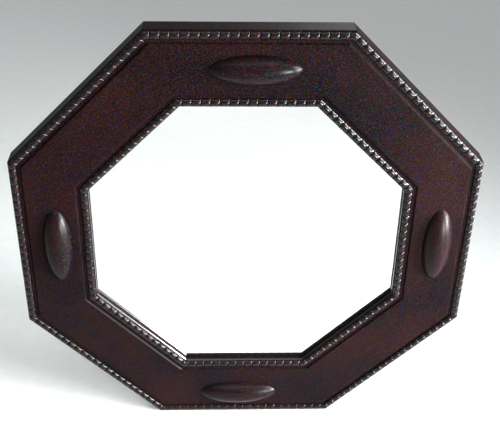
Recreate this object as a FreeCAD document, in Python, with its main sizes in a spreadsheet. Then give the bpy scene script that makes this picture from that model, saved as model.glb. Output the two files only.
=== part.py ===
import FreeCAD, Part
import math
import os
import Sketcher
from FreeCAD import Placement, Rotation, Vector

# Octagonal wall mirror with a tin face on a wooden core.
# The mirror stands upright: X runs across it, Z up it, and it faces -Y.
# The origin is the middle of the flat bottom edge that it stands on.
# Each side of the octagon is built as the top one, about the octagon's centre,
# and is then turned about Y to its place and lifted by half the height.

SIZES = {
    # The octagon and the depth of its outer side
    "frame_across_flats": 508,
    "rail_width": 82.5,
    "side_depth": 24,
    # The pressed tin sheet, from its edges inwards
    "tin_thickness": 0.6,
    "edge_radius": 1.6,
    "ledge_width": 12.6,
    "step_run": 1.4,
    "field_rise": 2,
    "lip_depth": 6.9,
    "lip_end_gap": 0.2,
    "back_fold_width": 10,
    # The two rows of beads
    "bead_pitch": 9.8,
    "bead_inset": 4.8,
    "bead_width": 7.6,
    "bead_height": 3.4,
    "bead_side_height": 1.2,
    "bead_crown_width": 3.2,
    "bead_crown_length": 4.2,
    # The oval bosses
    "boss_length": 94,
    "boss_width": 32.5,
    "boss_height": 12,
    # How far the hand-placed bosses sit from the middle of their fields
    "top_boss_along": 6.2,
    "right_boss_out": 3,
    "bottom_boss_along": 7.5,
    "bottom_boss_out": 8.5,
    "left_boss_in": 3,
    # Glass, card and board in the rebate
    "rebate_width": 8,
    "glass_clearance": 0.6,
    "glass_thickness": 4,
    "card_thickness": 2,
    "board_recess": 0.2,
    # Splines in the mitres of the core
    "spline_leg": 40,
    "spline_thickness": 4,
    # Brads in the back fold
    "brad_side": 1.4,
    "brad_length": 9,
    "brad_inset": 5,
    # Turn-buttons
    "button_length": 28,
    "button_width": 9,
    "button_thickness": 1.2,
    "button_gap": 0.3,
    "button_pivot_inset": 10,
    "button_hole_inset": 5.5,
    # Screws
    "shank_diameter": 3.5,
    "shank_in_wood": 12,
    "head_diameter": 7,
    "head_flat_diameter": 4,
    "head_height": 2,
    "pivot_clearance": 0.08,
    # Hanger plate and its ring
    "hanger_width": 46,
    "hanger_height": 12,
    "hanger_thickness": 1,
    "hanger_corner_radius": 3,
    "hanger_tab_length": 4,
    "hanger_screw_spacing": 34,
    "barrel_length": 12,
    "barrel_wall": 1.3,
    "ring_wire_diameter": 2.5,
    "ring_inner_width": 16,
    "ring_leg_length": 6,
    "ring_corner_radius": 2.8,
    # How far a cut runs past what it cuts
    "overrun": 3,
}

SIDES = ["top", "upper_right", "right", "lower_right", "bottom", "lower_left", "left", "upper_left"]
BOSS_PLACES = {
    "top": ("Sizes.top_boss_along", "0"),
    "right": ("0", "Sizes.right_boss_out"),
    "bottom": ("Sizes.bottom_boss_along", "Sizes.bottom_boss_out"),
    "left": ("0", "-Sizes.left_boss_in"),
}
BUTTON_SIDES = ["upper_right", "lower_right", "lower_left", "upper_left"]
SIDE_COUNT = len(SIDES)
TURN_PER_SIDE = 360 / SIDE_COUNT
BRADS_PER_SIDE = 3
HANGER_SCREW_COUNT = 2
BOSS_BANDS = 5
RING_BENDS = 8

doc = FreeCAD.newDocument("tin_mirror")
sheet = doc.addObject("Spreadsheet::Sheet", "Sizes")
for row, (alias, value) in enumerate(SIZES.items(), start=1):
    cell = f"A{row}"
    sheet.set(cell, str(value))
    sheet.setAlias(cell, alias)
doc.recompute()

# Places worked out from the sizes, as expressions in the sheet's names.
# An apothem is a distance from the octagon's centre, square to a side.
# A depth is a place along Y: the front of the mirror is at negative depths.
HALF_TURN_TAN = f"tan({TURN_PER_SIDE / 2} deg)"
HALF_TURN_SIN = f"sin({TURN_PER_SIDE / 2} deg)"
HALF_TURN_COS = f"cos({TURN_PER_SIDE / 2} deg)"
OUTER = "(Sizes.frame_across_flats / 2)"
INNER = f"({OUTER} - Sizes.rail_width)"
CENTRE_HEIGHT = OUTER
OUTER_STEP_FOOT = f"({OUTER} - Sizes.ledge_width)"
OUTER_STEP_TOP = f"({OUTER_STEP_FOOT} - Sizes.step_run)"
INNER_STEP_FOOT = f"({INNER} + Sizes.ledge_width)"
INNER_STEP_TOP = f"({INNER_STEP_FOOT} + Sizes.step_run)"
FIELD_MIDDLE = f"(({OUTER_STEP_TOP} + {INNER_STEP_TOP}) / 2)"
BACK = "(Sizes.side_depth / 2)"
LEDGE = "(-Sizes.side_depth / 2)"
FIELD = f"({LEDGE} - Sizes.field_rise)"
CORE_OUTER = f"({OUTER} - Sizes.tin_thickness)"
CORE_INNER = f"({INNER} + Sizes.tin_thickness)"
CORE_BACK = f"({BACK} - Sizes.tin_thickness)"
CORE_LEDGE = f"({LEDGE} + Sizes.tin_thickness)"
CORE_FIELD = f"({FIELD} + Sizes.tin_thickness)"
STEP_TILT = "atan(Sizes.field_rise / Sizes.step_run)"
BEND_SHIFT = f"(Sizes.tin_thickness * tan({STEP_TILT} / 2))"
CORE_OUTER_STEP_FOOT = f"({OUTER_STEP_FOOT} - {BEND_SHIFT})"
CORE_OUTER_STEP_TOP = f"({OUTER_STEP_TOP} - {BEND_SHIFT})"
CORE_INNER_STEP_FOOT = f"({INNER_STEP_FOOT} + {BEND_SHIFT})"
CORE_INNER_STEP_TOP = f"({INNER_STEP_TOP} + {BEND_SHIFT})"
REBATE_WALL = f"({CORE_INNER} + Sizes.rebate_width)"
GLASS_EDGE = f"({REBATE_WALL} - Sizes.glass_clearance)"
GLASS_FRONT = f"({LEDGE} + Sizes.lip_depth)"
GLASS_BACK = f"({GLASS_FRONT} + Sizes.glass_thickness)"
CARD_BACK = f"({GLASS_BACK} + Sizes.card_thickness)"
BOARD_BACK = f"({CORE_BACK} - Sizes.board_recess)"
LIP_END = f"({GLASS_FRONT} - Sizes.lip_end_gap)"
FOLD_END = f"({OUTER} - Sizes.back_fold_width)"
BRAD_LINE = f"({OUTER} - Sizes.brad_inset)"
BRAD_SPACING = f"(2 * {BRAD_LINE} * {HALF_TURN_TAN} / {BRADS_PER_SIDE})"
SCREW_TIP = f"({CORE_BACK} - Sizes.shank_in_wood)"
SCREW_HOLE_RADIUS = "(Sizes.shank_diameter / 2 + Sizes.pivot_clearance)"
BUTTON_PIVOT = f"({REBATE_WALL} + Sizes.button_pivot_inset)"
BUTTON_FRONT = f"({CORE_BACK} + Sizes.button_gap)"
BUTTON_BACK = f"({BUTTON_FRONT} + Sizes.button_thickness)"
BUTTON_SCREW_SEAT = f"({BUTTON_BACK} + Sizes.button_gap)"
HANGER_BACK = f"({CORE_BACK} + Sizes.hanger_thickness)"
BARREL_BORE_RADIUS = "(Sizes.ring_wire_diameter / 2 + Sizes.pivot_clearance)"
BARREL_RADIUS = f"({BARREL_BORE_RADIUS} + Sizes.barrel_wall)"
RING_AXIS_DEPTH = f"({CORE_BACK} + {BARREL_RADIUS})"
BACK_LAND_MIDDLE = f"(({REBATE_WALL} + {FOLD_END}) / 2)"
HANGER_STACK = f"(Sizes.hanger_height + Sizes.hanger_tab_length + {BARREL_RADIUS})"
HANGER_BOTTOM = f"({BACK_LAND_MIDDLE} - {HANGER_STACK} / 2)"
HANGER_TOP = f"({HANGER_BOTTOM} + Sizes.hanger_height)"
HANGER_SCREW_LINE = f"(({HANGER_TOP} + {HANGER_BOTTOM}) / 2)"
RING_AXIS = f"({HANGER_TOP} + Sizes.hanger_tab_length)"
RING_HALF_WIDTH = "((Sizes.ring_inner_width + Sizes.ring_wire_diameter) / 2)"


def number(expression):
    """The present value of an expression, in millimetres."""
    return float(sheet.evalExpression(expression))


def minus(expression):
    return f"(-{expression})"


def sketch_on(body, name, role, depth=None, across=None, up=None):
    """A sketch on one of the body's own origin planes, moved off it and within it."""
    sketch = body.newObject("Sketcher::SketchObject", name)
    plane = next(item for item in body.Origin.OriginFeatures if item.Role == role)
    sketch.AttachmentSupport = [(plane, "")]
    sketch.MapMode = "FlatFace"
    for axis, expression in (("x", across), ("y", up), ("z", depth)):
        if expression is not None:
            sketch.setExpression(f"AttachmentOffset.Base.{axis}", expression)
    return sketch


def fix_point(sketch, geometry, vertex, place):
    """Ties a vertex to its place, given as two expressions."""
    for kind, axis_line, expression in (("DistanceX", -2, place[0]), ("DistanceY", -1, place[1])):
        if expression == "0":
            sketch.addConstraint(Sketcher.Constraint("PointOnObject", geometry, vertex, axis_line))
            continue
        value = number(expression)
        index = sketch.addConstraint(Sketcher.Constraint(kind, -1, 1, geometry, vertex, value))
        sketch.setExpression(f"Constraints[{index}]", expression)


def fix_centre(sketch, geometry, centre, chord):
    """Ties an arc's centre in the direction that its two ends leave open."""
    along_x = abs(chord.y) >= abs(chord.x)
    kind = "DistanceX" if along_x else "DistanceY"
    expression = centre[0] if along_x else centre[1]
    if expression == "0":
        axis_line = -2 if along_x else -1
        sketch.addConstraint(Sketcher.Constraint("PointOnObject", geometry, 3, axis_line))
        return
    index = sketch.addConstraint(Sketcher.Constraint(kind, -1, 1, geometry, 3, number(expression)))
    sketch.setExpression(f"Constraints[{index}]", expression)


def outline(sketch, corners):
    """Draws one closed outline.

    A corner is two expressions. A third entry makes the run to the next corner an arc:
    its centre, and +1 where it runs counter-clockwise or -1 where it runs clockwise.
    """
    first = sketch.GeometryCount
    count = len(corners)
    points = [Vector(number(corner[0]), number(corner[1]), 0) for corner in corners]
    starts = []
    for index, corner in enumerate(corners):
        start = points[index]
        end = points[(index + 1) % count]
        if len(corner) == 2:
            sketch.addGeometry(Part.LineSegment(start, end), False)
            starts.append((1, 2))
            continue
        centre_place, direction = corner[2], corner[3]
        centre = Vector(number(centre_place[0]), number(centre_place[1]), 0)
        circle = Part.Circle(centre, Vector(0, 0, 1), (start - centre).Length)
        low, high = (start, end) if direction > 0 else (end, start)
        low_angle = math.atan2(low.y - centre.y, low.x - centre.x)
        high_angle = math.atan2(high.y - centre.y, high.x - centre.x)
        if high_angle <= low_angle:
            high_angle += 2 * math.pi
        sketch.addGeometry(Part.ArcOfCircle(circle, low_angle, high_angle), False)
        starts.append((1, 2) if direction > 0 else (2, 1))
    for index, corner in enumerate(corners):
        following = (index + 1) % count
        joined = Sketcher.Constraint(
            "Coincident", first + index, starts[index][1], first + following, starts[following][0]
        )
        sketch.addConstraint(joined)
        fix_point(sketch, first + index, starts[index][0], corner)
        if len(corner) > 2:
            chord = points[following] - points[index]
            fix_centre(sketch, first + index, corner[2], chord)


def rectangle(sketch, left, right, bottom, top):
    outline(sketch, [(left, bottom), (right, bottom), (right, top), (left, top)])


def round_hole(sketch, place, radius):
    index = sketch.GeometryCount
    centre = Vector(number(place[0]), number(place[1]), 0)
    sketch.addGeometry(Part.Circle(centre, Vector(0, 0, 1), number(radius)), False)
    fix_point(sketch, index, 3, place)
    constraint = sketch.addConstraint(Sketcher.Constraint("Radius", index, number(radius)))
    sketch.setExpression(f"Constraints[{constraint}]", radius)


def new_body(name, turn=0):
    """A body of its own, turned about the octagon's centre and lifted to its height."""
    body = doc.addObject("PartDesign::Body", name)
    body.Label = name
    body.AllowCompound = True
    body.Placement = Placement(Vector(0, 0, 0), Rotation(Vector(0, 1, 0), turn))
    body.setExpression("Placement.Base.z", CENTRE_HEIGHT)
    return body


def pad(body, sketch, length, both_ways=False):
    feature = body.newObject("PartDesign::Pad", sketch.Name + "_pad")
    feature.Profile = sketch
    feature.SideType = "Symmetric" if both_ways else "One side"
    feature.setExpression("Length", length)
    sketch.Visibility = False
    return feature


def pocket(body, sketch, length, both_ways=False):
    feature = body.newObject("PartDesign::Pocket", sketch.Name + "_pocket")
    feature.Profile = sketch
    feature.SideType = "Symmetric" if both_ways else "One side"
    feature.setExpression("Length", length)
    sketch.Visibility = False
    return feature


def revolution(body, sketch, axis):
    feature = body.newObject("PartDesign::Revolution", sketch.Name + "_turned")
    feature.Profile = sketch
    feature.ReferenceAxis = (sketch, [axis])
    feature.Angle = 360
    return feature


def row_of(body, feature, sketch, axis, length, count):
    """Repeats a feature along one of its sketch's axes."""
    pattern = body.newObject("PartDesign::LinearPattern", feature.Name + "_row")
    pattern.Originals = [feature]
    pattern.Direction = (sketch, [axis])
    pattern.setExpression("Length", length)
    pattern.setExpression("Occurrences", count)
    body.Tip = pattern
    return pattern


def round_of(body, feature, count):
    """Repeats a feature evenly about the octagon's centre."""
    pattern = body.newObject("PartDesign::PolarPattern", feature.Name + "_round")
    axis = next(item for item in body.Origin.OriginFeatures if item.Role == "Y_Axis")
    pattern.Originals = [feature]
    pattern.Axis = (axis, [""])
    pattern.Angle = 360
    pattern.Occurrences = count
    body.Tip = pattern
    return pattern


def side_section(body, corners, outer):
    """Draws a side's cross-section and runs it the full length of the side."""
    section = sketch_on(body, body.Name + "_section", "YZ_Plane")
    outline(section, corners)
    return pad(body, section, f"2 * {outer} * {HALF_TURN_TAN}", both_ways=True)


def mitre(body, inner, outer):
    """Cuts both ends of a side on the planes that it shares with its neighbours."""
    low = f"({inner} - Sizes.overrun)"
    high = f"({outer} + Sizes.overrun)"
    ends = sketch_on(body, body.Name + "_mitres", "XZ_Plane")
    for sign in ("", "-"):
        low_x = f"({sign}{low} * {HALF_TURN_TAN})"
        high_x = f"({sign}{high} * {HALF_TURN_TAN})"
        far_x = f"({sign}({high} * {HALF_TURN_TAN} + Sizes.overrun))"
        outline(ends, [(low_x, low), (far_x, low), (far_x, high), (high_x, high)])
    return pocket(body, ends, "2 * (Sizes.side_depth + Sizes.overrun)", both_ways=True)


def core_rail(side, turn):
    """Wooden rail under the tin, rebated from behind for the glass and the board."""
    body = new_body("core_rail_" + side, turn)
    corners = [
        (CORE_BACK, REBATE_WALL),
        (CORE_BACK, CORE_OUTER),
        (CORE_LEDGE, CORE_OUTER),
        (CORE_LEDGE, CORE_OUTER_STEP_FOOT),
        (CORE_FIELD, CORE_OUTER_STEP_TOP),
        (CORE_FIELD, CORE_INNER_STEP_TOP),
        (CORE_LEDGE, CORE_INNER_STEP_FOOT),
        (CORE_LEDGE, CORE_INNER),
        (GLASS_FRONT, CORE_INNER),
        (GLASS_FRONT, REBATE_WALL),
    ]
    side_section(body, corners, CORE_OUTER)
    spline_slots(body)
    brad_holes(body)
    if side in BUTTON_SIDES:
        screw_holes(body, "button", BUTTON_PIVOT, ["0"])
    if side == "top":
        half_spacing = "(Sizes.hanger_screw_spacing / 2)"
        screw_holes(body, "hanger", HANGER_SCREW_LINE, [minus(half_spacing), half_spacing])
    mitre(body, CORE_INNER, CORE_OUTER)
    return body


def spline_slots(body):
    """Saw kerfs across both mitres, at the outer corners, halfway through the rail."""
    slots = sketch_on(body, body.Name + "_slots", "XZ_Plane")
    corner_x = f"({CORE_OUTER} * {HALF_TURN_TAN})"
    depth_on_mitre = f"(Sizes.spline_leg * {HALF_TURN_SIN})"
    foot_x = f"({corner_x} - {depth_on_mitre} * {HALF_TURN_SIN})"
    foot_z = f"({CORE_OUTER} - {depth_on_mitre} * {HALF_TURN_COS})"
    past_x = f"(Sizes.overrun * {HALF_TURN_COS})"
    past_z = f"(Sizes.overrun * {HALF_TURN_SIN})"
    for sign in ("", "-"):
        outline(slots, [
            (f"({sign}({corner_x} - Sizes.spline_leg - {past_x}))", f"({CORE_OUTER} + {past_z})"),
            (f"({sign}({foot_x} + {past_x}))", f"({foot_z} - {past_z})"),
            (f"({sign}({corner_x} + Sizes.overrun))", f"({CORE_OUTER} + Sizes.overrun)"),
        ])
    return pocket(body, slots, "Sizes.spline_thickness", both_ways=True)


def brad_squares(sketch):
    """One square for each brad of a side, in a row along the back fold."""
    half = "(Sizes.brad_side / 2)"
    for index in range(BRADS_PER_SIDE):
        middle = f"({index - (BRADS_PER_SIDE - 1) / 2} * {BRAD_SPACING})"
        left = f"({middle} - {half})"
        right = f"({middle} + {half})"
        rectangle(sketch, left, right, f"({BRAD_LINE} - {half})", f"({BRAD_LINE} + {half})")


def brad_holes(body):
    """Square holes that the brads fill, open at the back."""
    holes = sketch_on(body, body.Name + "_brads", "XZ_Plane", depth=f"-({BACK} - Sizes.brad_length)")
    brad_squares(holes)
    return pocket(body, holes, "Sizes.brad_length + Sizes.overrun")


def screw_holes(body, kind, apothem, places):
    """Round holes for screws, open at the back."""
    holes = sketch_on(body, f"{body.Name}_{kind}_holes", "XZ_Plane", depth=minus(SCREW_TIP))
    for place in places:
        round_hole(holes, (place, apothem), SCREW_HOLE_RADIUS)
    return pocket(body, holes, "Sizes.shank_in_wood + Sizes.overrun")


def tin_face(side, turn):
    """One pressed sheet, wrapped from the back fold over the face to the mirror."""
    body = new_body("tin_face_" + side, turn)
    edge_centre = (f"({LEDGE} + Sizes.edge_radius)", f"({OUTER} - Sizes.edge_radius)")
    corners = [
        (BACK, FOLD_END),
        (BACK, OUTER),
        (edge_centre[0], OUTER, edge_centre, 1),
        (LEDGE, edge_centre[1]),
        (LEDGE, OUTER_STEP_FOOT),
        (FIELD, OUTER_STEP_TOP),
        (FIELD, INNER_STEP_TOP),
        (LEDGE, INNER_STEP_FOOT),
        (LEDGE, INNER),
        (LIP_END, INNER),
        (LIP_END, CORE_INNER),
        (CORE_LEDGE, CORE_INNER),
        (CORE_LEDGE, CORE_INNER_STEP_FOOT),
        (CORE_FIELD, CORE_INNER_STEP_TOP),
        (CORE_FIELD, CORE_OUTER_STEP_TOP),
        (CORE_LEDGE, CORE_OUTER_STEP_FOOT),
        (CORE_LEDGE, CORE_OUTER),
        (CORE_BACK, CORE_OUTER),
        (CORE_BACK, FOLD_END),
    ]
    side_section(body, corners, OUTER)
    brad_holes(body)
    mitre(body, INNER, OUTER)
    return body


def beading(name, turn, middle):
    """A strip of beads: a faceted moulding, notched between one bead and the next.

    The pitch is fitted so that a bead sits on every corner, half of it on each strip.
    """
    body = new_body(name, turn)
    low = f"({middle} - Sizes.bead_width / 2)"
    high = f"({middle} + Sizes.bead_width / 2)"
    side_top = f"({LEDGE} - Sizes.bead_side_height)"
    crown = f"({LEDGE} - Sizes.bead_height)"
    corners = [
        (LEDGE, low),
        (LEDGE, high),
        (side_top, high),
        (crown, f"({middle} + Sizes.bead_crown_width / 2)"),
        (crown, f"({middle} - Sizes.bead_crown_width / 2)"),
        (side_top, low),
    ]
    side_section(body, corners, high)
    side_length = f"(2 * {middle} * {HALF_TURN_TAN})"
    count = f"round({side_length} / Sizes.bead_pitch)"
    pitch = f"({side_length} / {count})"
    half_mouth = f"(({pitch} - Sizes.bead_crown_length) / 2)"
    first_notch = f"(-({count} - 1) * {pitch} / 2)"
    beyond = f"({crown} - Sizes.overrun)"
    notch = sketch_on(body, name + "_notch", "XY_Plane", depth=middle, across=first_notch)
    outline(notch, [
        ("0", side_top),
        (half_mouth, crown),
        (half_mouth, beyond),
        (minus(half_mouth), beyond),
        (minus(half_mouth), crown),
    ])
    cut = pocket(body, notch, "Sizes.bead_width + 2 * Sizes.overrun", both_ways=True)
    row_of(body, cut, notch, "H_Axis", f"({count} - 1) * {pitch}", count)
    mitre(body, low, high)
    return body


def boss(side, turn):
    """An oval dome: the front of a spindle whose axis lies behind the field, so its rim is an ellipse.

    The spindle's long curve is drawn as a few straight bands. The middle band is level with the crown,
    the others join points of the true ellipse, and the end bands run on behind the field to the axis.
    """
    body = new_body("boss_" + side, turn)
    along_shift, out_shift = BOSS_PLACES[side]
    middle = f"({FIELD_MIDDLE} + {out_shift})"
    height = "Sizes.boss_height"
    half_length = "(Sizes.boss_length / 2)"
    half_width = "(Sizes.boss_width / 2)"
    girth_radius = f"(({half_width} ^ 2 + {height} ^ 2) / (2 * {height}))"
    axis_drop = f"({girth_radius} - {height})"
    end_angle = f"asin({half_width} / {girth_radius})"
    corners = []
    for index in range(BOSS_BANDS // 2):
        angle = f"({(2 * index + 1) / BOSS_BANDS} * {end_angle})"
        along = f"({girth_radius} * {half_length} / {half_width} * sin({angle}))"
        radius = f"({girth_radius} * cos({angle}))" if index else girth_radius
        corners.append((along, radius))
    last_along, last_radius = corners[-1]
    run_on = f"{axis_drop} * ({half_length} - {last_along}) / ({last_radius} - {axis_drop})"
    far = f"({half_length} + {run_on})"
    corners.append((far, "0"))
    mirrored = [(minus(along), radius) for along, radius in corners]
    spindle = sketch_on(
        body, body.Name + "_spindle", "XY_Plane", depth=middle, across=along_shift,
        up=f"({FIELD} + {axis_drop})",
    )
    outline(spindle, mirrored[::-1] + corners)
    revolution(body, spindle, "H_Axis")
    behind = sketch_on(
        body, body.Name + "_behind", "XZ_Plane", depth=minus(FIELD), across=along_shift, up=middle
    )
    beyond = f"({girth_radius} + Sizes.overrun)"
    further = f"({far} + Sizes.overrun)"
    rectangle(behind, minus(further), further, minus(beyond), beyond)
    pocket(body, behind, f"2 * {girth_radius} + Sizes.overrun")
    return body


def octagon_sheet(name, front, back):
    """A flat eight-sided sheet that fits the rebate."""
    body = new_body(name)
    face = sketch_on(body, name + "_outline", "XZ_Plane", depth=minus(back))
    half_side = f"({GLASS_EDGE} * {HALF_TURN_TAN})"
    edge = GLASS_EDGE
    outline(face, [
        (half_side, edge),
        (edge, half_side),
        (edge, minus(half_side)),
        (half_side, minus(edge)),
        (minus(half_side), minus(edge)),
        (minus(edge), minus(half_side)),
        (minus(edge), half_side),
        (minus(half_side), edge),
    ])
    pad(body, face, f"{back} - {front}")
    return body


def mitre_splines():
    """Flat wooden keys, one across each mitre of the core."""
    body = new_body("mitre_splines", TURN_PER_SIDE / 2)
    corner = f"({CORE_OUTER} / {HALF_TURN_COS})"
    key = sketch_on(body, "spline_outline", "XZ_Plane")
    half_width = f"(Sizes.spline_leg * {HALF_TURN_COS})"
    foot = f"({corner} - Sizes.spline_leg * {HALF_TURN_SIN})"
    outline(key, [("0", corner), (minus(half_width), foot), (half_width, foot)])
    first = pad(body, key, "Sizes.spline_thickness", both_ways=True)
    round_of(body, first, SIDE_COUNT)
    return body


def fold_brads():
    """Square brads driven flush through the back fold of every side."""
    body = new_body("fold_brads")
    squares = sketch_on(body, "brad_outline", "XZ_Plane", depth=minus(BACK))
    brad_squares(squares)
    first = pad(body, squares, "Sizes.brad_length")
    round_of(body, first, SIDE_COUNT)
    return body


def screw_section(body, name, apothem, seat, across=None):
    """Turns one screw, with a head that narrows to a flat, seated at a depth."""
    profile = sketch_on(body, name, "YZ_Plane", depth=across, up=apothem)
    shank = "(Sizes.shank_diameter / 2)"
    outline(profile, [
        (SCREW_TIP, "0"),
        (SCREW_TIP, shank),
        (seat, shank),
        (seat, "(Sizes.head_diameter / 2)"),
        (f"({seat} + Sizes.head_height)", "(Sizes.head_flat_diameter / 2)"),
        (f"({seat} + Sizes.head_height)", "0"),
    ])
    return profile, revolution(body, profile, "H_Axis")


def turn_button_screws():
    body = new_body("turn_button_screws", SIDES.index(BUTTON_SIDES[0]) * TURN_PER_SIDE)
    profile, first = screw_section(body, "button_screw_profile", BUTTON_PIVOT, BUTTON_SCREW_SEAT)
    round_of(body, first, len(BUTTON_SIDES))
    return body


def hanger_screws():
    body = new_body("hanger_screws")
    spacing = "Sizes.hanger_screw_spacing"
    profile, first = screw_section(
        body, "hanger_screw_profile", HANGER_SCREW_LINE, HANGER_BACK, across=f"(-{spacing} / 2)"
    )
    row_of(body, first, profile, "N_Axis", spacing, str(HANGER_SCREW_COUNT))
    return body


def turn_button(side, turn):
    """A steel strip with round ends, whose long end laps over the board and holds it."""
    body = new_body("turn_button_" + side, turn)
    strip = sketch_on(body, body.Name + "_outline", "XZ_Plane", depth=minus(BUTTON_BACK))
    radius = "(Sizes.button_width / 2)"
    outer_end = f"({BUTTON_PIVOT} + Sizes.button_hole_inset)"
    high = f"({outer_end} - {radius})"
    low = f"({outer_end} - Sizes.button_length + {radius})"
    outline(strip, [
        (radius, low),
        (radius, high, ("0", high), 1),
        (minus(radius), high),
        (minus(radius), low, ("0", low), 1),
    ])
    round_hole(strip, ("0", BUTTON_PIVOT), SCREW_HOLE_RADIUS)
    pad(body, strip, "Sizes.button_thickness")
    return body


def hanger_plate():
    """A plate screwed to the top rail, with a tab rolled into a barrel for the ring."""
    body = new_body("hanger_plate")
    plate = sketch_on(body, "hanger_outline", "XZ_Plane", depth=minus(HANGER_BACK))
    half = "(Sizes.hanger_width / 2)"
    radius = "Sizes.hanger_corner_radius"
    tab = "(Sizes.barrel_length / 2)"
    side_x = f"({half} - {radius})"
    low_z = f"({HANGER_BOTTOM} + {radius})"
    high_z = f"({HANGER_TOP} - {radius})"
    outline(plate, [
        (minus(side_x), HANGER_BOTTOM),
        (side_x, HANGER_BOTTOM, (side_x, low_z), 1),
        (half, low_z),
        (half, high_z, (side_x, high_z), 1),
        (side_x, HANGER_TOP),
        (tab, HANGER_TOP),
        (tab, RING_AXIS),
        (minus(tab), RING_AXIS),
        (minus(tab), HANGER_TOP),
        (minus(side_x), HANGER_TOP, (minus(side_x), high_z), 1),
        (minus(half), high_z),
        (minus(half), low_z, (minus(side_x), low_z), 1),
    ])
    half_spacing = "(Sizes.hanger_screw_spacing / 2)"
    for place in (minus(half_spacing), half_spacing):
        round_hole(plate, (place, HANGER_SCREW_LINE), SCREW_HOLE_RADIUS)
    pad(body, plate, "Sizes.hanger_thickness")
    barrel = sketch_on(body, "barrel_section", "YZ_Plane")
    round_hole(barrel, (RING_AXIS_DEPTH, RING_AXIS), BARREL_RADIUS)
    pad(body, barrel, "Sizes.barrel_length", both_ways=True)
    bore = sketch_on(body, "barrel_bore", "YZ_Plane")
    round_hole(bore, (RING_AXIS_DEPTH, RING_AXIS), BARREL_BORE_RADIUS)
    pocket(body, bore, "Sizes.barrel_length + 2 * Sizes.overrun", both_ways=True)
    return body


def hanging_ring():
    """A ring of wire with a straight bar in the barrel, hanging down from it.

    Its round foot is bent in equal short steps, on points of the true half circle.
    """
    body = new_body("hanging_ring")
    spine = sketch_on(body, "ring_spine", "XZ_Plane", depth=minus(RING_AXIS_DEPTH), up=RING_AXIS)
    corner = "Sizes.ring_corner_radius"
    bar = f"({RING_HALF_WIDTH} - {corner})"
    leg_top = f"(-{corner})"
    leg_foot = f"(-{corner} - Sizes.ring_leg_length)"
    foot = []
    for index in range(RING_BENDS + 1):
        angle = f"({180 * index / RING_BENDS} deg)"
        across = f"({RING_HALF_WIDTH} * cos({angle}))"
        foot.append((across, f"({leg_foot} - {RING_HALF_WIDTH} * sin({angle}))"))
    outline(spine, [
        ("0", "0"),
        (bar, "0"),
        (RING_HALF_WIDTH, leg_top),
        *foot,
        (minus(RING_HALF_WIDTH), leg_top),
        (minus(bar), "0"),
    ])
    wire = sketch_on(body, "ring_wire", "YZ_Plane")
    round_hole(wire, (RING_AXIS_DEPTH, RING_AXIS), "(Sizes.ring_wire_diameter / 2)")
    sweep = body.newObject("PartDesign::AdditivePipe", "ring_sweep")
    sweep.Profile = wire
    sweep.Spine = (spine, [])
    sweep.Transition = "Right corner"
    return body


def build_parts():
    parts = []
    bead_lines = {
        "outer": f"({OUTER} - Sizes.bead_inset)",
        "inner": f"({INNER} + Sizes.bead_inset)",
    }
    for index, side in enumerate(SIDES):
        turn = index * TURN_PER_SIDE
        parts.append(core_rail(side, turn))
        parts.append(tin_face(side, turn))
        for row_name, line in bead_lines.items():
            parts.append(beading(f"{row_name}_beading_{side}", turn, line))
        if side in BOSS_PLACES:
            parts.append(boss(side, turn))
        if side in BUTTON_SIDES:
            parts.append(turn_button(side, turn))
    parts.append(octagon_sheet("mirror_glass", GLASS_FRONT, GLASS_BACK))
    parts.append(octagon_sheet("backing_card", GLASS_BACK, CARD_BACK))
    parts.append(octagon_sheet("backing_board", CARD_BACK, BOARD_BACK))
    parts.append(mitre_splines())
    parts.append(fold_brads())
    parts.append(turn_button_screws())
    parts.append(hanger_plate())
    parts.append(hanger_screws())
    parts.append(hanging_ring())
    return parts


def check(parts):
    """Stops the build if any object failed or any part is not sound."""
    for item in doc.Objects:
        if "Invalid" in item.State or "Error" in item.State:
            raise RuntimeError(f"{item.Name} failed: {item.State}")
        if item.TypeId == "PartDesign::Pocket":
            if item.Shape.Volume >= item.BaseFeature.Shape.Volume:
                raise RuntimeError(f"{item.Name} cuts nothing")
    for part in parts:
        if part.Shape.isNull() or not part.Shape.isValid():
            raise RuntimeError(f"{part.Label} is not a sound solid")


def write(parts):
    os.makedirs("parts", exist_ok=True)
    for part in parts:
        part.Shape.exportStep(os.path.join("parts", part.Label + ".step"))
        box = part.Shape.BoundBox
        print(
            f"{part.Label}: {len(part.Shape.Solids)} solids, {part.Shape.Volume:.0f} mm3,"
            f" {box.XLength:.1f} x {box.YLength:.1f} x {box.ZLength:.1f} mm"
        )


parts = build_parts()
doc.recompute()
check(parts)
write(parts)
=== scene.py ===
import math

import bmesh
import bpy
from mathutils import Matrix, Vector, noise


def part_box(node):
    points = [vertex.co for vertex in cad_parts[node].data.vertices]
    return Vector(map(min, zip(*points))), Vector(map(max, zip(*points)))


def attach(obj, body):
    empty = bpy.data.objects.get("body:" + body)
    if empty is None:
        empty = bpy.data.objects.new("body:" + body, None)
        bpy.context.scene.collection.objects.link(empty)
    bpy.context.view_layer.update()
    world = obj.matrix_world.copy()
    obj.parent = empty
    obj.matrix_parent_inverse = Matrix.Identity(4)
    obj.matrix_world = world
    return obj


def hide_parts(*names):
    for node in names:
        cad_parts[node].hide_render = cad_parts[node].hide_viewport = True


# Octagonal mirror with a dark tin face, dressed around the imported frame.
# Metres. The mirror stands on Z = 0 and faces -Y. "Apothem" is a distance from the
# octagon's centre square to a side, and "along" runs along that side.

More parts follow.
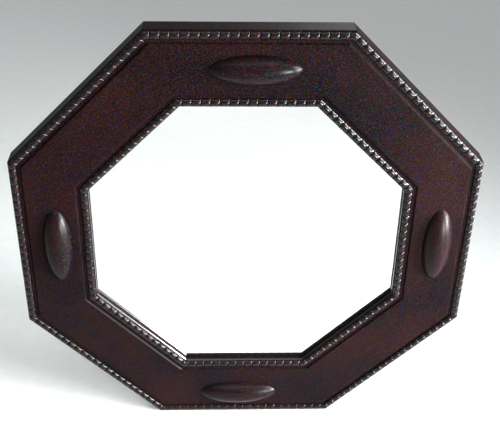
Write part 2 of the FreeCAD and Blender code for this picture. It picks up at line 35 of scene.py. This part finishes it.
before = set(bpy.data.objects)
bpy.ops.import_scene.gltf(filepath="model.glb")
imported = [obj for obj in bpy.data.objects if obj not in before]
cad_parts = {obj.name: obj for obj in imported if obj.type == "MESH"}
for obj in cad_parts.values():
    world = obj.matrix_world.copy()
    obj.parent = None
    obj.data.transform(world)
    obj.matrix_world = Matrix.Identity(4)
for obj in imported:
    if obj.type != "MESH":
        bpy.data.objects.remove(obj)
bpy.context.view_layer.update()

SIDES = ["top", "upper_right", "right", "lower_right", "bottom", "lower_left", "left", "upper_left"]
BOSS_SIDES = ["top", "right", "bottom", "left"]
BUTTON_SIDES = ["upper_right", "lower_right", "lower_left", "upper_left"]
TURN = math.radians(45)
SLOPE = math.tan(TURN / 2)
SHARP = math.radians(42)

# Places read from the frame
tin_low, tin_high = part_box("tin_face_top")
CENTRE = tin_high.z / 2
OUTER = tin_high.z - CENTRE
INNER = tin_low.z - CENTRE
BACK = tin_high.y
FIELD = tin_low.y
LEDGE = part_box("outer_beading_top")[1].y
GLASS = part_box("mirror_glass")[0].y

# Sizes of the pressed sheet
LEDGE_WIDTH = 0.0126
STEP_RUN = 0.0014
TIN = 0.0006
FOLD_WIDTH = 0.010
LIP_GAP = 0.0002
# Painted shade: the lip's lowest strip, this tall, is dark and dull, standing in for the shadow gap where the
# lip meets the glass
SHADE_STRIP = 0.0032
BACK_RADIUS = 0.0008
EDGE_RADIUS = 0.0016
STEP_RADIUS = 0.0006
LIP_RADIUS = 0.00025

# Mesh of the pressed sheet: points on an arc, the longest run, and the steps along a side
ARC_STEPS = 4
LONGEST_RUN = 0.004
FACE_STEPS = 48

# Dents of the pressed sheet, which fade out towards the mitres and the edges of the field
DENT_DEPTH = 0.00022
DENT_MEAN = 0.6
DENT_FINE_SHARE = 0.35
DENT_MITRE_FADE = 12
DENT_EDGE_FADE = 0.008
FIELD_TOLERANCE = 0.00005

# Beads
BEAD_PITCH = 0.0098
BEAD_STEPS = 12
BEAD_STEPS_ACROSS = 10
BEAD_ROUND_ALONG = 2.6
BEAD_ROUND_ACROSS = 1.6
BEAD_SIDE = 0.93
BEAD_GROOVE = 0.25
BEAD_TAPE = 0.0008
BEAD_UNEVEN = 0.05
BEAD_ROW_SEED = {"outer": 1.3, "inner": 9.7}

# Bosses, whose first and last columns of points stand just off the tips
BOSS_LENGTH = 0.094
BOSS_WIDTH = 0.0325
BOSS_STEPS = 72
BOSS_STEPS_ACROSS = 28
BOSS_REACH = 0.9995

# Tin: dark, warm and pale colours of the patina
PATINA_DARK = (0.0003, 0.0002, 0.0003)
PATINA_PALE = (0.004, 0.001, 0.001)
PATINA_WARM_THIN = (0.002, 0.0004, 0.0004)
# Painted light: this shift of the patina's clouds puts a lighter, warm patch on the upper right, where the
# light from the right falls
CLOUD_SHIFT_TO_LIT_CORNER = (0.4, 0, 0.3)
SPECK_COLOUR = (0.13, 0.07, 0.09)

# Wood: grain lines to the metre across and along the grain, coarse and fine
GRAIN_ACROSS, GRAIN_ALONG = 70, 3
FIBRE_ACROSS, FIBRE_ALONG = 500, 16
ALONG_X, ALONG_Z = 0, 2

# Staging: the backdrop is farther off than the camera, so no view of the back has it in the way
STAGE_HALF_WIDTH = 6
STAGE_FRONT = -4
BACKDROP_BEHIND = 4.0
BACKDROP_HEIGHT = 5
DAYLIGHT = (0.88, 1.0, 0.99)
WORLD_COLOUR = (0.97, 0.99, 1.0, 1)
WORLD_STRENGTH = 0.46

# Camera, solved from the edges of the octagon in the photograph
CAMERA_PLACE = (-0.03112, -0.88029, 0.85127)
CAMERA_TURN = (57.093, -0.9726, -1.675)
CAMERA_LENS = 67.47
CAMERA_SENSOR = 36


# Meshes

def side_matrix(side):
    """From a side built as the top one, about the octagon's centre, to its place."""
    turn = Matrix.Rotation(SIDES.index(side) * TURN, 4, "Y")
    return Matrix.Translation((0, 0, CENTRE)) @ turn


def new_object(name, bm, places, material, side):
    """Turns a side's mesh to its place and makes the piece, with a map along and across the side."""
    uv = bm.loops.layers.uv.new("side")
    for face in bm.faces:
        for loop in face.loops:
            loop[uv].uv = places[loop.vert]
    bm.transform(side_matrix(side))
    bmesh.ops.recalc_face_normals(bm, faces=bm.faces)
    for edge in bm.edges:
        edge.smooth = len(edge.link_faces) == 2 and edge.calc_face_angle() < SHARP
    mesh = bpy.data.meshes.new(name)
    bm.to_mesh(mesh)
    bm.free()
    for polygon in mesh.polygons:
        polygon.use_smooth = True
    piece = bpy.data.objects.new(name, mesh)
    bpy.context.scene.collection.objects.link(piece)
    mesh.materials.append(material)
    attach(piece, "frame")
    return piece


def skin(bm, rings):
    """Faces between closed rings of points, with a cap at each end."""
    for first, second in zip(rings, rings[1:]):
        for index in range(len(first)):
            following = (index + 1) % len(first)
            bm.faces.new((first[index], first[following], second[following], second[index]))
    bm.faces.new(rings[0])
    bm.faces.new(list(reversed(rings[-1])))


def crowded(step, steps):
    """From -1 to 1, with the steps closer together towards both ends."""
    return math.sin(math.pi / 2 * (2 * step / steps - 1))


def rounded(corners):
    """A path through (apothem, depth, radius) corners, each turned by an arc."""
    path = []
    for index, (apothem, depth, radius) in enumerate(corners):
        here = Vector((apothem, depth))
        if radius == 0 or index in (0, len(corners) - 1):
            path.append(here)
            continue
        before = Vector(corners[index - 1][:2]) - here
        after = Vector(corners[index + 1][:2]) - here
        opening = before.angle(after)
        reach = radius / math.tan(opening / 2)
        start = here + before.normalized() * reach
        end = here + after.normalized() * reach
        halfway = (before.normalized() + after.normalized()).normalized()
        middle = here + halfway * radius / math.sin(opening / 2)
        first = start - middle
        last = end - middle
        swing = first.angle_signed(last)
        for step in range(ARC_STEPS + 1):
            turned = first.copy()
            turned.rotate(Matrix.Rotation(-swing * step / ARC_STEPS, 2))
            path.append(middle + turned)
    return path


def divided(path, longest):
    """The same path with its long runs divided."""
    result = [path[0]]
    for start, end in zip(path, path[1:]):
        parts = max(1, math.ceil((end - start).length / longest))
        for part in range(1, parts + 1):
            result.append(start.lerp(end, part / parts))
    return result


def dent(along, apothem, side):
    """The slight unevenness of hand-pressed sheet, about zero: broad swells and finer ones."""
    place = Vector((along * 14, apothem * 22, SIDES.index(side) * 7.3))
    fine = Vector((along * 55, apothem * 60, SIDES.index(side) * 3.1))
    return noise.noise(place) + DENT_FINE_SHARE * noise.noise(fine)


def tin_face(side, material, lip_material, shade_material):
    """The pressed sheet of one side, from the fold behind to the lip at the glass."""
    field_outer = OUTER - LEDGE_WIDTH - STEP_RUN
    field_inner = INNER + LEDGE_WIDTH + STEP_RUN
    shown = rounded([
        (OUTER - FOLD_WIDTH, BACK, 0),
        (OUTER, BACK, BACK_RADIUS),
        (OUTER, LEDGE, EDGE_RADIUS),
        (OUTER - LEDGE_WIDTH, LEDGE, STEP_RADIUS),
        (field_outer, FIELD, STEP_RADIUS),
        (field_inner, FIELD, STEP_RADIUS),
        (INNER + LEDGE_WIDTH, LEDGE, STEP_RADIUS),
        (INNER, LEDGE, LIP_RADIUS),
        (INNER, GLASS - LIP_GAP - SHADE_STRIP, 0),
        (INNER, GLASS - LIP_GAP, 0),
    ])
    shown = divided(shown, LONGEST_RUN)
    hidden = [
        Vector((INNER + TIN, GLASS - LIP_GAP)),
        Vector((INNER + TIN, LEDGE + TIN)),
        Vector((INNER + LEDGE_WIDTH, LEDGE + TIN)),
        Vector((field_inner, FIELD + TIN)),
        Vector((field_outer, FIELD + TIN)),
        Vector((OUTER - LEDGE_WIDTH, LEDGE + TIN)),
        Vector((OUTER - TIN, LEDGE + TIN)),
        Vector((OUTER - TIN, BACK - TIN)),
        Vector((OUTER - FOLD_WIDTH, BACK - TIN)),
    ]
    section = shown + hidden
    bm = bmesh.new()
    rings = []
    places = {}
    for step in range(FACE_STEPS + 1):
        share = 2 * step / FACE_STEPS - 1
        ring = []
        for index, (apothem, depth) in enumerate(section):
            along = share * apothem * SLOPE
            moved = depth
            if index < len(shown) and depth < FIELD + FIELD_TOLERANCE:
                fade = min(1, (1 - abs(share)) * DENT_MITRE_FADE)
                edge = min(apothem - field_inner, field_outer - apothem) / DENT_EDGE_FADE
                fade *= min(1, max(0, edge))
                moved += DENT_DEPTH * (DENT_MEAN + dent(along, apothem, side)) * fade
            vertex = bm.verts.new((along, moved, apothem))
            places[vertex] = (along, apothem + SIDES.index(side))
            ring.append(vertex)
        rings.append(ring)
    skin(bm, rings)
    # The lip's faces take the lip finish, and its lowest strip takes the painted shade of the shadow gap at
    # the glass
    shade_strip_top = GLASS - LIP_GAP - SHADE_STRIP - TIN / 4
    for face in bm.faces:
        if all(abs(vertex.co.z - INNER) < TIN / 4 for vertex in face.verts):
            at_glass = all(vertex.co.y > shade_strip_top for vertex in face.verts)
            face.material_index = 2 if at_glass else 1
    piece = new_object("pressed_tin_" + side, bm, places, material, side)
    piece.data.materials.append(lip_material)
    piece.data.materials.append(shade_material)
    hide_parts("tin_face_" + side)


def bead_crown(share):
    """Height of a bead along the strip: 1 at its middle, and the groove's floor at its ends."""
    round_part = max(0.0, 1 - abs(share) ** BEAD_ROUND_ALONG) ** (1 / BEAD_ROUND_ALONG)
    return BEAD_GROOVE + (1 - BEAD_GROOVE) * round_part


def bead_shoulder(share):
    """Height of a bead across the strip: 1 at its middle, and a low side wall at its edges."""
    return max(0.0, 1 - (BEAD_SIDE * abs(share)) ** BEAD_ROUND_ACROSS) ** (1 / BEAD_ROUND_ACROSS)


def beading(row, side, material):
    """A strip of rounded beads on a thin tape, with half a bead at each mitre."""
    low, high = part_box(f"{row}_beading_top")
    middle = (low.z + high.z) / 2 - CENTRE
    half_width = (high.z - low.z) / 2
    height = high.y - low.y
    length = 2 * middle * SLOPE
    count = round(length / BEAD_PITCH)
    pitch = length / count
    across = [crowded(index, BEAD_STEPS_ACROSS) for index in range(BEAD_STEPS_ACROSS + 1)]
    along = []
    for bead in range(count + 1):
        for step in range(BEAD_STEPS + 1):
            share = crowded(step, BEAD_STEPS)
            if bead == 0 and share < 0 or bead == count and share > 0:
                continue
            if step == BEAD_STEPS and bead < count:
                continue
            along.append((bead, share))
    bm = bmesh.new()
    places = {}
    columns = []
    for bead, share in along:
        centre = (bead - count / 2) * pitch
        seed = Vector((bead * 3.7, SIDES.index(side) * 5.1, BEAD_ROW_SEED[row]))
        size = 1 - BEAD_UNEVEN * abs(noise.noise(seed))
        column = []
        for place in across:
            apothem = middle + place * half_width
            x = centre + share * pitch / 2
            end = apothem * SLOPE
            if bead == 0:
                x = -end + share * (centre + pitch / 2 + end)
            if bead == count:
                x = end + share * (end - centre + pitch / 2)
            rise = BEAD_TAPE + (height - BEAD_TAPE) * size * bead_crown(share) * bead_shoulder(place)
            column.append(bm.verts.new((x, high.y - rise, apothem)))
            places[column[-1]] = (x, apothem + SIDES.index(side))
        for place in (across[-1], across[0]):
            apothem = middle + place * half_width
            x = column[-1 if place > 0 else 0].co.x
            column.append(bm.verts.new((x, high.y, apothem)))
            places[column[-1]] = (x, apothem + SIDES.index(side))
        columns.append(column)
    skin(bm, columns)
    piece = new_object(f"{row}_beads_{side}", bm, places, material, side)
    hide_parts(f"{row}_beading_{side}")


def boss(side, material):
    """An oval dome: the front of a spindle, on the same ellipse as the solid."""
    node_low, node_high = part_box("boss_" + side)
    across = BOSS_WIDTH / 2
    half_length = BOSS_LENGTH / 2
    height = FIELD - node_low.y
    girth = (across ** 2 + height ** 2) / (2 * height)
    drop = girth - height
    place = side_matrix(side).inverted() @ ((node_low + node_high) / 2)
    bm = bmesh.new()
    places = {}
    columns = []
    for step in range(1, BOSS_STEPS):
        along = half_length * crowded(step, BOSS_STEPS) * BOSS_REACH
        radius = math.sqrt(girth ** 2 - (across * along / half_length) ** 2)
        limit = math.acos(min(1, drop / radius))
        column = []
        for step_across in range(BOSS_STEPS_ACROSS + 1):
            angle = limit * (2 * step_across / BOSS_STEPS_ACROSS - 1)
            rise = max(0, radius * math.cos(angle) - girth + height)
            apothem = place.z + radius * math.sin(angle)
            column.append(bm.verts.new((place.x + along, FIELD - rise, apothem)))
            places[column[-1]] = (along, apothem + SIDES.index(side))
        columns.append(column)
    for first, second in zip(columns, columns[1:]):
        for index in range(BOSS_STEPS_ACROSS):
            bm.faces.new((first[index], first[index + 1], second[index + 1], second[index]))
    for column, along in ((columns[0], -half_length), (columns[-1], half_length)):
        tip = bm.verts.new((place.x + along, FIELD, place.z))
        places[tip] = (along, place.z + SIDES.index(side))
        for first, second in zip(column, column[1:]):
            bm.faces.new((first, second, tip))
    piece = new_object("oval_boss_" + side, bm, places, material, side)
    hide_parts("boss_" + side)


# Materials

def new_material(name):
    material = bpy.data.materials.new(name)
    material.use_nodes = True
    tree = material.node_tree
    shader = next(node for node in tree.nodes if node.type == "BSDF_PRINCIPLED")
    return material, tree, shader


def add(tree, kind, inputs=None, **settings):
    """A new node with its settings, and each input either linked or set."""
    node = tree.nodes.new(kind)
    for name, value in settings.items():
        setattr(node, name, value)
    for name, value in (inputs or {}).items():
        socket = node.inputs[name]
        if isinstance(value, bpy.types.NodeSocket):
            tree.links.new(value, socket)
        else:
            socket.default_value = value
    return node


def object_place(tree):
    return add(tree, "ShaderNodeTexCoord").outputs["Object"]


def colour_ramp(tree, factor, stops):
    """A ramp between two (place, colour) stops."""
    ramp = add(tree, "ShaderNodeValToRGB", {"Fac": factor})
    for element, (place, colour) in zip(ramp.color_ramp.elements, stops):
        element.position = place
        element.color = (*colour, 1)
    return ramp.outputs["Color"]


def mix_colour(tree, factor, first, second, blend="MIX"):
    mix = tree.nodes.new("ShaderNodeMix")
    mix.data_type = "RGBA"
    mix.blend_type = blend
    for socket, value in ((mix.inputs[0], factor), (mix.inputs[6], first), (mix.inputs[7], second)):
        if isinstance(value, bpy.types.NodeSocket):
            tree.links.new(value, socket)
        else:
            socket.default_value = value if not isinstance(value, tuple) else (*value, 1)
    return mix.outputs[2]


def vector_math(tree, operation, first, second):
    node = add(tree, "ShaderNodeVectorMath", {0: first, 1: second}, operation=operation)
    return node.outputs["Vector"]


def scaled(tree, vector, scale):
    return add(tree, "ShaderNodeMapping", {"Vector": vector, "Scale": scale}).outputs["Vector"]


def noise_value(tree, vector, scale, detail, roughness, output="Fac"):
    inputs = {"Vector": vector, "Scale": scale, "Detail": detail, "Roughness": roughness}
    return add(tree, "ShaderNodeTexNoise", inputs).outputs[output]


def map_range(tree, value, low, high, to_low, to_high):
    inputs = {"Value": value, "From Min": low, "From Max": high, "To Min": to_low, "To Max": to_high}
    return add(tree, "ShaderNodeMapRange", inputs).outputs["Result"]


def bump(tree, height, strength, distance):
    inputs = {"Height": height, "Strength": strength, "Distance": distance}
    return add(tree, "ShaderNodeBump", inputs)


def patinated_tin(name, warm, pale, roughness, gloss):
    """Old tin under a dark red-brown patina: cloudy, streaked along each side, and finely mottled. The warm
    clouds are patina colour, shifted so that a lighter patch lies on the upper right as painted light.
    """
    material, tree, shader = new_material(name)
    place = add(tree, "ShaderNodeUVMap", uv_map="side").outputs["UV"]
    body = object_place(tree)
    # The warm clouds are patina colour; their shift lays a lighter patch on the upper right as painted light
    clouds = noise_value(tree, vector_math(tree, "ADD", body, CLOUD_SHIFT_TO_LIT_CORNER), 9, 5, 0.6)
    streaks = noise_value(tree, scaled(tree, place, (14, 240, 1)), 1, 5, 0.65)
    tone = mix_colour(tree, map_range(tree, clouds, 0.42, 0.66, 0, 1), PATINA_DARK, warm)
    tone = mix_colour(tree, map_range(tree, streaks, 0.5, 0.75, 0, 0.55), tone, pale)
    grain = noise_value(tree, body, 640, 2, 0.6, "Color")
    lifted = vector_math(tree, "SUBTRACT", grain, (0.5, 0.5, 0.5))
    specks = vector_math(tree, "MAXIMUM", lifted, (0, 0, 0))
    specks = vector_math(tree, "MULTIPLY", specks, SPECK_COLOUR)
    tone = mix_colour(tree, 1.0, tone, specks, "ADD")
    tree.links.new(tone, shader.inputs["Base Color"])
    rough = map_range(tree, clouds, 0.3, 0.7, roughness - 0.05, roughness + 0.07)
    tree.links.new(rough, shader.inputs["Roughness"])
    shader.inputs["IOR"].default_value = gloss
    fine = bump(tree, grain, 0.08, 0.0004)
    soft = bump(tree, streaks, 0.08, 0.0005)
    tree.links.new(fine.outputs["Normal"], soft.inputs["Normal"])
    tree.links.new(soft.outputs["Normal"], shader.inputs["Normal"])
    return material


def silvered_glass():
    material, tree, shader = new_material("silvered_glass")
    smears = noise_value(tree, scaled(tree, object_place(tree), (6, 6, 14)), 1, 5, 0.6)
    tone = colour_ramp(tree, smears, [(0.3, (0.93, 0.95, 0.94)), (0.7, (0.97, 0.98, 0.975))])
    tree.links.new(tone, shader.inputs["Base Color"])
    shader.inputs["Metallic"].default_value = 1
    tree.links.new(map_range(tree, smears, 0.35, 0.7, 0.012, 0.035), shader.inputs["Roughness"])
    return material


def wood(name, dark, light, grain_axis, turn=0):
    """Softwood: long streaked grain, turned to run along its side, dull and a little dirty."""
    material, tree, shader = new_material(name)
    body = object_place(tree)
    if turn:
        along_side = add(tree, "ShaderNodeVectorRotate", rotation_type="Y_AXIS")
        along_side.inputs["Angle"].default_value = -turn
        tree.links.new(body, along_side.inputs["Vector"])
        body = along_side.outputs["Vector"]
    stretch = [GRAIN_ACROSS] * 3
    stretch[grain_axis] = GRAIN_ALONG
    grain = noise_value(tree, scaled(tree, body, tuple(stretch)), 1, 6, 0.6)
    fine = [FIBRE_ACROSS] * 3
    fine[grain_axis] = FIBRE_ALONG
    fibres = noise_value(tree, scaled(tree, body, tuple(fine)), 1, 3, 0.6)
    dirt = noise_value(tree, body, 9, 4, 0.6)
    darkest = tuple(part * 0.45 for part in dark)
    tone = colour_ramp(tree, grain, [(0.32, dark), (0.62, light)])
    tone = mix_colour(tree, map_range(tree, fibres, 0.4, 0.7, 0, 0.35), tone, dark)
    tone = mix_colour(tree, map_range(tree, dirt, 0.45, 0.75, 0, 0.5), tone, darkest)
    tree.links.new(tone, shader.inputs["Base Color"])
    shader.inputs["Roughness"].default_value = 0.72
    tree.links.new(bump(tree, fibres, 0.35, 0.0004).outputs["Normal"], shader.inputs["Normal"])
    return material


def card():
    material, tree, shader = new_material("grey_card")
    fibres = noise_value(tree, object_place(tree), 700, 3, 0.7)
    tone = colour_ramp(tree, fibres, [(0.3, (0.30, 0.25, 0.18)), (0.7, (0.42, 0.35, 0.26))])
    tree.links.new(tone, shader.inputs["Base Color"])
    shader.inputs["Roughness"].default_value = 0.9
    return material


def worn_metal(name, bright, dull, roughness):
    """Bare metal with dull stains and fine scratches up and down."""
    material, tree, shader = new_material(name)
    body = object_place(tree)
    stains = noise_value(tree, body, 160, 5, 0.65)
    scratches = noise_value(tree, scaled(tree, body, (900, 900, 90)), 1, 3, 0.6)
    tone = colour_ramp(tree, stains, [(0.35, bright), (0.68, dull)])
    tree.links.new(tone, shader.inputs["Base Color"])
    shader.inputs["Metallic"].default_value = 1
    rough = map_range(tree, stains, 0.3, 0.7, roughness, roughness + 0.25)
    tree.links.new(rough, shader.inputs["Roughness"])
    tree.links.new(bump(tree, scratches, 0.15, 0.0002).outputs["Normal"], shader.inputs["Normal"])
    return material


def plaster(name, colour):
    """Matt pale paint with a faint speckle."""
    material, tree, shader = new_material(name)
    grain = noise_value(tree, object_place(tree), 60, 4, 0.6)
    darker = tuple(part * 0.965 for part in colour)
    tone = colour_ramp(tree, grain, [(0.35, darker), (0.65, colour)])
    tree.links.new(tone, shader.inputs["Base Color"])
    shader.inputs["Roughness"].default_value = 0.75
    return material


def dress(node, material):
    """Gives a CAD node that stays its finish."""
    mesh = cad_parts[node].data
    mesh.materials.clear()
    mesh.materials.append(material)


# The object
face_tin = patinated_tin(
    "dark_patinated_tin", warm=(0.006, 0.0008, 0.0005), pale=PATINA_PALE, roughness=0.38, gloss=1.12
)
bead_tin = patinated_tin(
    "beading_patinated_tin", warm=PATINA_WARM_THIN, pale=PATINA_PALE, roughness=0.2, gloss=1.29
)
boss_tin = patinated_tin(
    "boss_patinated_tin", warm=(0.005, 0.0006, 0.0006), pale=(0.009, 0.002, 0.002), roughness=0.28, gloss=1.185
)
lip_tin = patinated_tin(
    "lip_patinated_tin", warm=PATINA_WARM_THIN, pale=PATINA_PALE, roughness=0.12, gloss=1.3
)
# Painted shade: a darker, rougher and duller finish for the foot of the lip, standing in for the shadow gap at
# the glass
lip_foot_shade = patinated_tin(
    "painted_shade_at_the_glass", warm=(0.002, 0.0008, 0.0006), pale=PATINA_PALE, roughness=0.6, gloss=1.08
)
for side in SIDES:
    tin_face(side, face_tin, lip_tin, lip_foot_shade)
    beading("outer", side, bead_tin)
    beading("inner", side, bead_tin)
for side in BOSS_SIDES:
    boss(side, boss_tin)
dress("mirror_glass", silvered_glass())
for side in SIDES:
    turn = SIDES.index(side) * TURN
    softwood = wood("core_softwood_" + side, (0.13, 0.075, 0.035), (0.34, 0.215, 0.115), ALONG_X, turn)
    dress("core_rail_" + side, softwood)
dress("mitre_splines", wood("spline_softwood", (0.2, 0.13, 0.07), (0.42, 0.3, 0.17), ALONG_Z))
dress("backing_board", wood("board_softwood", (0.17, 0.11, 0.06), (0.40, 0.28, 0.165), ALONG_Z))
dress("backing_card", card())
steel = worn_metal("aged_steel", (0.42, 0.41, 0.40), (0.16, 0.11, 0.08), 0.3)
brass = worn_metal("aged_brass", (0.62, 0.44, 0.18), (0.25, 0.16, 0.07), 0.28)
for node in ("fold_brads", "turn_button_screws"):
    dress(node, steel)
for side in BUTTON_SIDES:
    dress("turn_button_" + side, steel)
for node in ("hanger_plate", "hanger_screws", "hanging_ring"):
    dress(node, brass)


# Floor, backdrop, light and camera

def stage_plane(name, corners, material):
    bm = bmesh.new()
    bm.faces.new([bm.verts.new(corner) for corner in corners])
    mesh = bpy.data.meshes.new(name)
    bm.to_mesh(mesh)
    bm.free()
    mesh.materials.append(material)
    plane = bpy.data.objects.new(name, mesh)
    bpy.context.scene.collection.objects.link(plane)


def area_light(name, place, target, size, power, colour=(1, 1, 1), spread=180):
    """A rectangular light at a place, turned to a target; its spread is in degrees."""
    data = bpy.data.lights.new(name, "AREA")
    data.shape = "RECTANGLE"
    data.size, data.size_y = size
    data.energy = power
    data.color = colour
    data.spread = math.radians(spread)
    light = bpy.data.objects.new(name, data)
    light.location = place
    light.rotation_euler = (Vector(target) - Vector(place)).to_track_quat("-Z", "Y").to_euler()
    bpy.context.scene.collection.objects.link(light)


pale = plaster("pale_plaster", (0.86, 0.87, 0.865))
left, right = -STAGE_HALF_WIDTH, STAGE_HALF_WIDTH
foot_left, foot_right = (left, BACKDROP_BEHIND, 0), (right, BACKDROP_BEHIND, 0)
head_left, head_right = (left, BACKDROP_BEHIND, BACKDROP_HEIGHT), (right, BACKDROP_BEHIND, BACKDROP_HEIGHT)
stage_plane("floor", [(left, STAGE_FRONT, 0), (right, STAGE_FRONT, 0), foot_right, foot_left], pale)
stage_plane("backdrop", [foot_left, foot_right, head_right, head_left], pale)

MIDDLE = (0, 0, 0.25)
area_light("side", (1.0, -0.42, 0.75), MIDDLE, (0.3, 0.3), power=2.5, colour=(0.96, 1.0, 0.99), spread=60)
area_light("glint", (1.8, -0.35, 0.4), MIDDLE, (0.3, 0.3), power=6, colour=DAYLIGHT, spread=60)
area_light("broad_glint", (1.6, -0.6, 0.2), MIDDLE, (0.5, 0.4), power=8, colour=DAYLIGHT, spread=50)
area_light("window", (1.45, -1.95, 0.38), MIDDLE, (0.45, 0.5), power=12)
area_light("bead_glint", (0.95, -0.55, 0.22), (-0.13, 0, 0.12), (0.5, 0.44), power=1.2, spread=20)
area_light("low", (1.0, -1.2, 0.1), (0, 0, 0.4), (0.3, 0.3), power=5.4, colour=(0.92, 1.0, 0.99), spread=60)
area_light("top", (0.5, -0.9, 1.9), MIDDLE, (0.5, 0.5), power=0.6, spread=60)
area_light("fill", (-0.6, -1.1, 1.9), (-0.6, -1.1, 0), (1.2, 1.2), power=4.6)
area_light("far_fill", (-0.2, -1.5, 1.9), (-0.2, -1.3, 0), (1.0, 0.8), power=6.6, spread=90)
area_light("behind", (0.6, 1.8, 1.1), MIDDLE, (0.8, 0.8), power=0.8, spread=40)

world = bpy.data.worlds.new("soft_room")
world.use_nodes = True
background = world.node_tree.nodes["Background"]
background.inputs["Color"].default_value = WORLD_COLOUR
background.inputs["Strength"].default_value = WORLD_STRENGTH
bpy.context.scene.world = world

camera_data = bpy.data.cameras.new("camera")
camera_data.lens = CAMERA_LENS
camera_data.sensor_width = CAMERA_SENSOR
camera_data.sensor_fit = "HORIZONTAL"
camera = bpy.data.objects.new("camera", camera_data)
camera.location = CAMERA_PLACE
camera.rotation_euler = [math.radians(angle) for angle in CAMERA_TURN]
bpy.context.scene.collection.objects.link(camera)
bpy.context.scene.camera = camera
bpy.context.scene.view_settings.view_transform = "Standard"
